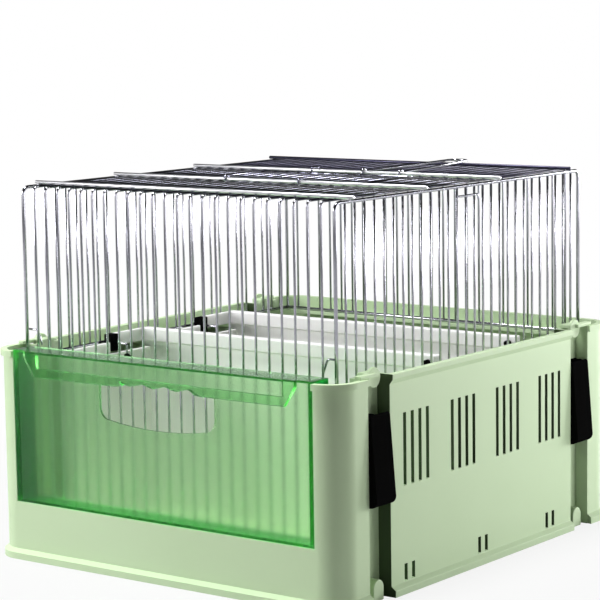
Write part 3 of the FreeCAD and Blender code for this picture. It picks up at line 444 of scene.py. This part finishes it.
for panel in ("front_panel", "rear_panel"):
    moulded(panel, FINE_ROUND, WALL_ROUND, off_the_corner)
for panel in ("left_side_panel", "right_side_panel"):
    piece = moulded(panel, FINE_ROUND, WALL_ROUND, off_the_corner, mark_slot_shade)
    # the second finish is the painted shade of the slots and seams
    piece.data.materials.append(SLOT_SHADE_MINT)
for clips in ("top_corner_clips", "bottom_corner_clips"):
    moulded(clips, CLIP_ROUND)
for fixed in ("floor_tray", "divider_guides", "latch_bases"):
    moulded(fixed, FINE_ROUND)
for corner in ("front_left", "front_right", "rear_left", "rear_right"):
    moulded(corner + "_latch", LATCH_ROUND)
for board in ("front_divider", "rear_divider"):
    moulded(board, BOARD_ROUND)
    moulded(board + "_fittings", FITTING_ROUND)
cover = moulded("front_cover", FINE_ROUND, mark=mark_deep_walls)
cover.data.shade_flat()

# %% [markdown]
# ## Drawn wire
# The cage is galvanised wire: bent hoops, frames and straight bars. A curve with a round bevel would give
# such a tube too, but its cut ends would be flat. Here a wire starts as a ring of vertices. It is
# extruded along each straight run and spun round the centre of each bend, so the tube stays round through
# the corner. Both ends are drawn in a little and filled, as a cut end is after tumbling.

# %% Start, extend and close a wire
WIRE_SIDES = 12
TIP_LENGTH, TIP_WIDTH = 0.4, 0.62


def ring_at(bm, at, heading, radius):
    """A ring of edges round a point, square to the heading."""
    turn = Vector((0, 0, 1)).rotation_difference(heading).to_matrix().to_4x4()
    ring = bmesh.ops.create_circle(bm, cap_ends=False, radius=radius, segments=WIRE_SIDES,
                                   matrix=Matrix.Translation(at) @ turn)
    return list(dict.fromkeys(edge for vert in ring["verts"] for edge in vert.link_edges))


def run_on(bm, ring, travel):
    """Extrude an open ring and return its new far ring."""
    grown = bmesh.ops.extrude_edge_only(bm, edges=ring)["geom"]
    verts = [g for g in grown if isinstance(g, bmesh.types.BMVert)]
    bmesh.ops.translate(bm, verts=verts, vec=travel)
    return [g for g in grown if isinstance(g, bmesh.types.BMEdge) and g.is_boundary]


def close_end(bm, ring, heading, radius):
    """Draw an end in and fill it; the tip is measured in wire radii."""
    tip = run_on(bm, ring, heading * radius * TIP_LENGTH)
    verts = list(dict.fromkeys(vert for edge in tip for vert in edge.verts))
    middle = sum((v.co for v in verts), Vector()) / len(verts)
    bmesh.ops.scale(bm, verts=verts, vec=[TIP_WIDTH] * 3, space=Matrix.Translation(-middle))
    bmesh.ops.edgeloop_fill(bm, edges=tip)


print("a wire has", WIRE_SIDES, "sides")

# %% Lay a wire through its corners
BEND_STEPS = 6
SHORTEST_RUN = 1e-5


def lay_wire(bm, corners, radius, bend=0.0):
    """Draw one wire through its corner points, each corner turned on the bend radius."""
    corners = [Vector(c) for c in corners]
    heading = (corners[1] - corners[0]).normalized()
    at = corners[0]
    first = ring_at(bm, at, heading, radius)
    ring = first
    for corner, after in zip(corners[1:], corners[2:]):
        onward = (after - corner).normalized()
        angle = heading.angle(onward)
        reach = bend * math.tan(angle / 2)
        arc_start = corner - heading * reach
        if (arc_start - at).length > SHORTEST_RUN:
            ring = run_on(bm, ring, arc_start - at)
        axis = heading.cross(onward).normalized()
        centre = arc_start + axis.cross(heading) * bend
        bent = bmesh.ops.spin(bm, geom=ring, cent=centre, axis=axis, angle=angle, steps=BEND_STEPS,
                              use_merge=False, use_duplicate=False)
        ring = [g for g in bent["geom_last"] if isinstance(g, bmesh.types.BMEdge)]
        at = corner + onward * reach
        heading = onward
    if (corners[-1] - at).length > SHORTEST_RUN:
        ring = run_on(bm, ring, corners[-1] - at)
    close_end(bm, ring, heading, radius)
    close_end(bm, first, (corners[0] - corners[1]).normalized(), radius)


print("a bend has", BEND_STEPS, "steps")

# %% Repeat a wire and hand it over
def repeat(bm, offsets):
    """Copy everything drawn so far to each offset; the first offset is where it is now."""
    drawn = bm.verts[:] + bm.edges[:] + bm.faces[:]
    for offset in offsets[1:]:
        copy = bmesh.ops.duplicate(bm, geom=drawn)["geom"]
        verts = [g for g in copy if isinstance(g, bmesh.types.BMVert)]
        bmesh.ops.translate(bm, verts=verts, vec=Vector(offset) - Vector(offsets[0]))


def wire_piece(name, bm, node):
    """Turn the normals outwards and hand the wires over as a piece."""
    bmesh.ops.recalc_face_normals(bm, faces=bm.faces)
    faces = len(bm.faces)
    piece = add_piece(name, bm, node)
    print(name, "faces:", faces)
    return piece


# %% [markdown]
# ## Cage walls
# The front and rear wires rise from a foot bar and bend over into the roof. Each side wall is a frame
# with round upper corners, filled with upright wires. An array modifier could space them, but it would
# also array the frame. So one wire is drawn and repeated at the pitch of the cage before the frame is
# added.

# %% Sizes of the cage, read from the solids
WIRE_R = 1.0 * MM
FRAME_R = 1.5 * MM
ROOF_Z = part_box("roof_side_wires")[1].z - WIRE_R
BAR_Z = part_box("roof_front_grille")[1].z - FRAME_R
CAGE_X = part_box("right_grille")[1].x - FRAME_R
CAGE_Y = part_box("right_grille")[1].y - FRAME_R
SIDE_FOOT_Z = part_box("rear_grille")[0].z + FRAME_R
FRONT_FOOT_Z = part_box("front_grille")[0].z + FRAME_R
SIDE_TOP_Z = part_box("right_grille")[1].z - FRAME_R
BAR_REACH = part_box("roof_front_grille")[1].x
FOOT_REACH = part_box("rear_grille")[1].x
END_BEND = 4 * MM
FRAME_BEND = 6 * MM
CROSS_COUNT, SIDE_COUNT = 24, 27
CROSS_STEP = 2 * CAGE_X / (CROSS_COUNT + 1)
SIDE_STEP = 2 * CAGE_Y / (SIDE_COUNT + 1)
CROSS_X = [(i + 1) * CROSS_STEP - CAGE_X for i in range(CROSS_COUNT)]
SIDE_Y = [(i + 1) * SIDE_STEP - CAGE_Y for i in range(SIDE_COUNT)]
print("wire steps:", round(CROSS_STEP / MM, 2), round(SIDE_STEP / MM, 2), "mm")
print("roof at", round(ROOF_Z / MM, 1), "mm")

# %% Front and rear walls
for node, side, foot_z in (("front_grille", -1, FRONT_FOOT_Z), ("rear_grille", 1, SIDE_FOOT_Z)):
    bm = bmesh.new()
    x, y = CROSS_X[0], side * CAGE_Y
    lay_wire(bm, [(x, y, foot_z), (x, y, ROOF_Z), (x, y - side * END_BEND, ROOF_Z)], WIRE_R, END_BEND)
    repeat(bm, [(place, 0, 0) for place in CROSS_X])
    lay_wire(bm, [(-FOOT_REACH, y, foot_z), (FOOT_REACH, y, foot_z)], FRAME_R)
    wire_piece(node + "_wires", bm, node)

# %% Side walls
for node, side in (("left_grille", -1), ("right_grille", 1)):
    bm = bmesh.new()
    x = side * CAGE_X
    lay_wire(bm, [(x, SIDE_Y[0], SIDE_FOOT_Z), (x, SIDE_Y[0], SIDE_TOP_Z)], WIRE_R)
    repeat(bm, [(0, place, 0) for place in SIDE_Y])
    leg_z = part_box(node)[0].z
    lay_wire(bm, [(x, -CAGE_Y, leg_z), (x, -CAGE_Y, SIDE_TOP_Z),
                  (x, CAGE_Y, SIDE_TOP_Z), (x, CAGE_Y, leg_z)], FRAME_R, FRAME_BEND)
    lay_wire(bm, [(x, -CAGE_Y, SIDE_FOOT_Z), (x, CAGE_Y, SIDE_FOOT_Z)], FRAME_R)
    wire_piece(node + "_wires", bm, node)

# %% [markdown]
# ## Roof
# The roof has a front strip and a rear strip of fine wires with cross bars over them, and a few wires on
# either side of the hatch that join the strips. A strip and its bars are one piece, because they are
# welded together. The bright bars are painted lighter than the wires, which is a painted highlight, so
# their faces point to a second finish in the same mesh.

# %% Front and rear strips
ROOF_END_Y = CAGE_Y - END_BEND
FRONT_BAR_Y, REAR_BAR_Y = -62 * MM, 48 * MM
EDGE_INSET = 20 * MM
EDGE_BAR_Y = CAGE_Y - EDGE_INSET
FRONT_STRIP_Y, REAR_STRIP_Y = (corner.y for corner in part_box("roof_side_wires"))


def lay_bars(bm, places):
    """Lay a cross bar over the roof wires at each place."""
    for y in places:
        lay_wire(bm, [(-BAR_REACH, y, BAR_Z), (BAR_REACH, y, BAR_Z)], FRAME_R)


def roof_strip(node, outer_y, inner_y, wire_toned_bars, highlight_bars, finish):
    """Roof wires with their cross bars; the wire-toned bars share the finish of the wires, and the
    highlight bars get the painted highlight.
    """
    bm = bmesh.new()
    lay_wire(bm, [(CROSS_X[0], outer_y, ROOF_Z), (CROSS_X[0], inner_y, ROOF_Z)], WIRE_R)
    repeat(bm, [(place, 0, 0) for place in CROSS_X])
    lay_bars(bm, wire_toned_bars)
    dull = set(bm.faces)
    lay_bars(bm, highlight_bars)
    for face in bm.faces:
        face.material_index = 0 if face in dull else 1
    strip = wire_piece(node + "_wires", bm, node)
    strip.data.materials[0] = finish
    strip.data.materials.append(BAR_WIRE_LIT)


roof_strip("roof_front_grille", -ROOF_END_Y, FRONT_STRIP_Y, [], [FRONT_BAR_Y, -EDGE_BAR_Y], ROOF_WIRE_SHADED)
roof_strip("roof_rear_grille", ROOF_END_Y, REAR_STRIP_Y, [EDGE_BAR_Y], [REAR_BAR_Y], REAR_WIRE_SHADED)

# %% Wires beside the hatch
HATCH_FIRST, HATCH_SPACES = 5, 13
HATCH_LAST = HATCH_FIRST + HATCH_SPACES
beside = CROSS_X[:HATCH_FIRST + 1] + CROSS_X[HATCH_LAST:]
bm = bmesh.new()
lay_wire(bm, [(beside[0], FRONT_STRIP_Y, ROOF_Z), (beside[0], REAR_STRIP_Y, ROOF_Z)], WIRE_R)
repeat(bm, [(place, 0, 0) for place in beside])
wire_piece("roof_side_wires_drawn", bm, "roof_side_wires").data.materials[0] = ROOF_WIRE_SHADED

# %% [markdown]
# ## Hatch and bail
# Between the two middle bars the roof opens: a framed hatch turns on two rings round the front bar and
# hooks over the rear one. A tapered bail lies back over the rear strip and turns on two eyes round the
# same bar. Rings and eyes could be torus shapes. They are spun from the same ring of vertices that starts
# a wire, so their sides match the wires that they are welded to.

# %% A ring of wire
RING_STEPS = 28


def lay_ring(bm, at, middle_radius, radius):
    """A closed ring of wire round an axis along X."""
    ring = ring_at(bm, Vector(at) + Vector((0, middle_radius, 0)), Vector((0, 0, 1)), radius)
    bmesh.ops.spin(bm, geom=ring, cent=at, axis=(1, 0, 0), angle=2 * math.pi, steps=RING_STEPS,
                   use_merge=True, use_duplicate=False)


print("a ring has", RING_STEPS, "steps")

# %% Hatch with rings and catch
HATCH_LEFT, HATCH_RIGHT = CROSS_X[HATCH_FIRST], CROSS_X[HATCH_LAST]
FRAME_GAP = 4.5 * MM
FRAME_LEFT, FRAME_RIGHT = HATCH_LEFT + FRAME_GAP, HATCH_RIGHT - FRAME_GAP
HATCH_FRONT_Y, HATCH_REAR_Y = FRONT_BAR_Y + 3.8 * MM, REAR_BAR_Y - 6.5 * MM
HATCH_STEP = (FRAME_RIGHT - FRAME_LEFT) / (HATCH_SPACES - 1)
RING_R, RING_GAP = 0.9 * MM, 0.3 * MM
RING_IN, CATCH_IN = 3.5 * CROSS_STEP, 4.5 * CROSS_STEP
CATCH_PAST, CATCH_DROP, CATCH_BEND = 3.6 * MM, 3.1 * MM, 1.8 * MM
TAIL = FRAME_R + 0.8 * MM

bm = bmesh.new()
first_x = FRAME_LEFT + HATCH_STEP
lay_wire(bm, [(first_x, HATCH_FRONT_Y, ROOF_Z), (first_x, HATCH_REAR_Y, ROOF_Z)], WIRE_R)
repeat(bm, [(HATCH_STEP * (i + 1), 0, 0) for i in range(HATCH_SPACES - 2)])
for y in (HATCH_FRONT_Y, HATCH_REAR_Y):
    lay_wire(bm, [(FRAME_LEFT - TAIL, y, ROOF_Z), (FRAME_RIGHT + TAIL, y, ROOF_Z)], FRAME_R)
for x in (FRAME_LEFT, FRAME_RIGHT):
    lay_wire(bm, [(x, HATCH_FRONT_Y, ROOF_Z), (x, HATCH_REAR_Y, ROOF_Z)], FRAME_R)
for x in (HATCH_LEFT + RING_IN, HATCH_RIGHT - RING_IN):
    lay_ring(bm, (x, FRONT_BAR_Y, BAR_Z), FRAME_R + RING_GAP + RING_R, RING_R)
x = HATCH_LEFT + CATCH_IN
over_z = BAR_Z + FRAME_R + RING_GAP + RING_R
tip_y = REAR_BAR_Y + CATCH_PAST
lay_wire(bm, [(x, HATCH_REAR_Y, ROOF_Z), (x, HATCH_REAR_Y, over_z), (x, tip_y, over_z),
              (x, tip_y, over_z - CATCH_DROP)], RING_R, CATCH_BEND)
wire_piece("roof_hatch_wires", bm, "roof_hatch").data.materials[0] = HATCH_WIRE_SHADED

# %% Bail
BAIL_R, EYE_GAP = 1.1 * MM, 0.25 * MM
BAIL_X, BAIL_HALF = 3.5 * CROSS_STEP, 1.5 * CROSS_STEP
BAIL_REACH, TIP_HALF, BAIL_BEND = 124 * MM, 9 * MM, 7 * MM
BAIL_RISE, REST_GAP = 0.8 * MM, 0.4 * MM

start_y = REAR_BAR_Y + FRAME_R + EYE_GAP + BAIL_R / 2
start_z = BAR_Z + BAIL_RISE
tip_y = REAR_BAR_Y + BAIL_REACH
rest_z = BAR_Z + FRAME_R + REST_GAP + BAIL_R
slope = (rest_z - start_z) / (EDGE_BAR_Y - start_y)
tip_z = start_z + slope * (tip_y - start_y)
bm = bmesh.new()
lay_wire(bm, [(BAIL_X - BAIL_HALF, start_y, start_z), (BAIL_X - TIP_HALF, tip_y, tip_z),
              (BAIL_X + TIP_HALF, tip_y, tip_z), (BAIL_X + BAIL_HALF, start_y, start_z)], BAIL_R, BAIL_BEND)
for x in (BAIL_X - BAIL_HALF, BAIL_X + BAIL_HALF):
    lay_ring(bm, (x, REAR_BAR_Y, BAR_Z), FRAME_R + EYE_GAP + BAIL_R, BAIL_R)
wire_piece("carry_bail_wire", bm, "carry_bail")

# %% [markdown]
# ## Hooks and clips
# Small bent wires hold things in place: a hook at each front corner of the cage, a clip on the right side
# wall and a hook on each dividing board. Their ends are read from the boxes of their solids, so that they
# stay where the solids put them, and the same wire helper bends them.

# %% Corner hooks
HOOK_R, HOOK_BEND = 0.9 * MM, 4 * MM
HOOK_ARM, HOOK_TIP_IN, HOOK_DROP = 9.5 * MM, 14 * MM, 12 * MM

low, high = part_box("corner_hooks")
y = (low.y + high.y) / 2
z = high.z - HOOK_R
bm = bmesh.new()
for side in (-1, 1):
    lay_wire(bm, [(side * high.x, y, z), (side * (high.x - HOOK_ARM), y, z),
                  (side * (high.x - HOOK_TIP_IN), y, z - HOOK_DROP)], HOOK_R, HOOK_BEND)
wire_piece("corner_hooks_wire", bm, "corner_hooks")

# %% Side clip and board hooks
CLIP_BEND = 2 * MM

low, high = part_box("side_clip")
x = (low.x + high.x) / 2
y, z = high.y - WIRE_R, high.z - WIRE_R
bm = bmesh.new()
lay_wire(bm, [(x, -y, low.z), (x, -y, z), (x, y, z), (x, y, low.z)], WIRE_R, CLIP_BEND)
wire_piece("side_clip_wire", bm, "side_clip")

for board in ("front_divider", "rear_divider"):
    low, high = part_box(board + "_hook")
    x, y, z = high.x - WIRE_R, (low.y + high.y) / 2, high.z - WIRE_R
    bm = bmesh.new()
    lay_wire(bm, [(low.x, y, z), (x, y, z), (x, y, low.z)], WIRE_R, CLIP_BEND)
    wire_piece(board + "_hook_wire", bm, board + "_hook")

# %% [markdown]
# ## Pins
# The latch pins keep their measured solids. They only need their finish, because almost nothing of them
# shows until a lever is opened.

# %% Finish the pins
pins = NODES["latch_pins"].data
pins.materials.clear()
pins.materials.append(PIN)
print("pins:", NODES["latch_pins"].name)

# %% [markdown]
# ## Floor and backdrop
# The carrier stands on a wide pale sweep in front of white. Strong lamps could make paper white, but they
# would bleach the object too. So the camera sees a white of its own, and the light on the object is left
# alone. Near the carrier some of the lit paper shows through that white, which keeps the shadow. Wire and
# clear plastic mirror the white low down in the backdrop, and only a little of it from the floor, so the
# wires keep dark sides.

# %% Masks by the kind of ray
def combine(tree, operation, one, other):
    """A Math node on a socket and a second socket or a plain number."""
    made = tree.nodes.new("ShaderNodeMath")
    made.operation = operation
    tree.links.new(one, made.inputs[0])
    if isinstance(other, float):
        made.inputs[1].default_value = other
    else:
        tree.links.new(other, made.inputs[1])
    return made.outputs[0]


def background_rays(tree, mirrored):
    """1 for a camera ray; for a mirror or clear-plastic ray, as much as mirrored says."""
    rays = tree.nodes.new("ShaderNodeLightPath").outputs
    bounced = combine(tree, "MAXIMUM", rays["Is Glossy Ray"], rays["Is Transmission Ray"])
    return combine(tree, "MAXIMUM", rays["Is Camera Ray"], combine(tree, "MULTIPLY", bounced, mirrored))


PURE_WHITE = (1, 1, 1, 1)
print("backdrop colour:", PURE_WHITE)

# %% World
SKY_STRENGTH = 0.04
LOW_DOWN, HIGH_UP = 0.12, 0.22

world = bpy.data.worlds.new("studio")
world.use_nodes = True
SCENE.world = world
tree = world.node_tree
link = tree.links.new
sky = tree.nodes["Background"]
sky.inputs["Color"].default_value = PURE_WHITE
sky.inputs["Strength"].default_value = SKY_STRENGTH
white = node_at(tree, "ShaderNodeBackground", Color=PURE_WHITE, Strength=1.0)
direction = tree.nodes.new("ShaderNodeTexCoord")
height = tree.nodes.new("ShaderNodeSeparateXYZ")
lower = node_at(tree, "ShaderNodeMapRange", From_Min=LOW_DOWN, From_Max=HIGH_UP, To_Min=1.0, To_Max=0.0)
link(direction.outputs["Generated"], height.inputs[0])
link(height.outputs["Z"], lower.inputs["Value"])
seen = background_rays(tree, lower.outputs["Result"])
link(choose_shader(tree, seen, sky, white), tree.nodes["World Output"].inputs["Surface"])
print("sky strength:", SKY_STRENGTH)

# %% Floor
FLOOR_HALF = 6.0
PAPER_TONE, PAPER_DEEP_TONE = (0.44, 0.44, 0.44), (0.42, 0.42, 0.425)
PAPER_ROUGH, PAPER_DRIFT_SCALE = 0.7, 3.0
SHADOW_NEAR, SHADOW_FAR = 0.26, 0.75
WHITE_NEAR, WHITE_FAR = 0.85, 1.0
FLOOR_MIRRORED = 0.1

bm = bmesh.new()
bmesh.ops.create_grid(bm, x_segments=1, y_segments=1, size=FLOOR_HALF)
mesh = bpy.data.meshes.new("floor")
bm.to_mesh(mesh)
bm.free()
floor = bpy.data.objects.new("floor", mesh)
SCENE.collection.objects.link(floor)

paper, tree, shader = new_material("white_sweep")
link = tree.links.new
drift = placed_group(tree, GRAIN, Drift_Scale=PAPER_DRIFT_SCALE).outputs["Drift"]
link(two_tone(tree, drift, PAPER_TONE, PAPER_DEEP_TONE), shader.inputs["Base Color"])
shader.inputs["Roughness"].default_value = PAPER_ROUGH
place = tree.nodes.new("ShaderNodeTexCoord")
away = tree.nodes.new("ShaderNodeVectorMath")
away.operation = "LENGTH"
fade = node_at(tree, "ShaderNodeMapRange", From_Min=SHADOW_NEAR, From_Max=SHADOW_FAR,
               To_Min=WHITE_NEAR, To_Max=WHITE_FAR)
fade.interpolation_type = "SMOOTHSTEP"
link(place.outputs["Object"], away.inputs[0])
link(away.outputs["Value"], fade.inputs["Value"])
seen = combine(tree, "MULTIPLY", fade.outputs["Result"], background_rays(tree, FLOOR_MIRRORED))
glow = node_at(tree, "ShaderNodeEmission", Color=PURE_WHITE, Strength=1.0)
link(choose_shader(tree, seen, shader, glow), tree.nodes["Material Output"].inputs["Surface"])
floor.data.materials.append(paper)
print("floor:", 2 * FLOOR_HALF, "m wide")

# %% [markdown]
# ## Light
# Four softboxes light the carrier. The left one lights the front, the top one the roof and the inside,
# and the right one comes from behind, so that the near corner stays in shade. A large lamp at the side
# would light the right panel more simply, but it would flatten that corner. So a small lamp close to the
# panel does it.

# %% Softboxes
AIM = Vector((0, 0, 0.12))


def softbox(name, turn, lift, distance, width, height, power):
    """An area lamp that looks at the carrier; turn is measured from +X, lift from the level, in degrees."""
    lamp = bpy.data.lights.new(name, "AREA")
    lamp.shape = "RECTANGLE"
    lamp.size, lamp.size_y = width, height
    lamp.energy = power
    holder = bpy.data.objects.new(name, lamp)
    turn, lift = math.radians(turn), math.radians(lift)
    away = Vector((math.cos(turn) * math.cos(lift), math.sin(turn) * math.cos(lift), math.sin(lift)))
    holder.location = AIM + away * distance
    holder.rotation_mode = "QUATERNION"
    holder.rotation_quaternion = away.to_track_quat("Z", "Y")
    holder.visible_camera = False
    SCENE.collection.objects.link(holder)
    print(name, power, "W")


softbox("left_box", turn=-138, lift=19, distance=1.5, width=0.5, height=0.5, power=17)
softbox("top_box", turn=-105, lift=80, distance=2.2, width=0.6, height=0.6, power=66)
softbox("right_box", turn=68, lift=6, distance=2.2, width=0.8, height=0.5, power=42)
softbox("side_box", turn=25, lift=9, distance=0.84, width=0.3, height=0.3, power=2.0)

# %% View settings
SCENE.view_settings.view_transform = "Standard"
print("view transform:", SCENE.view_settings.view_transform)
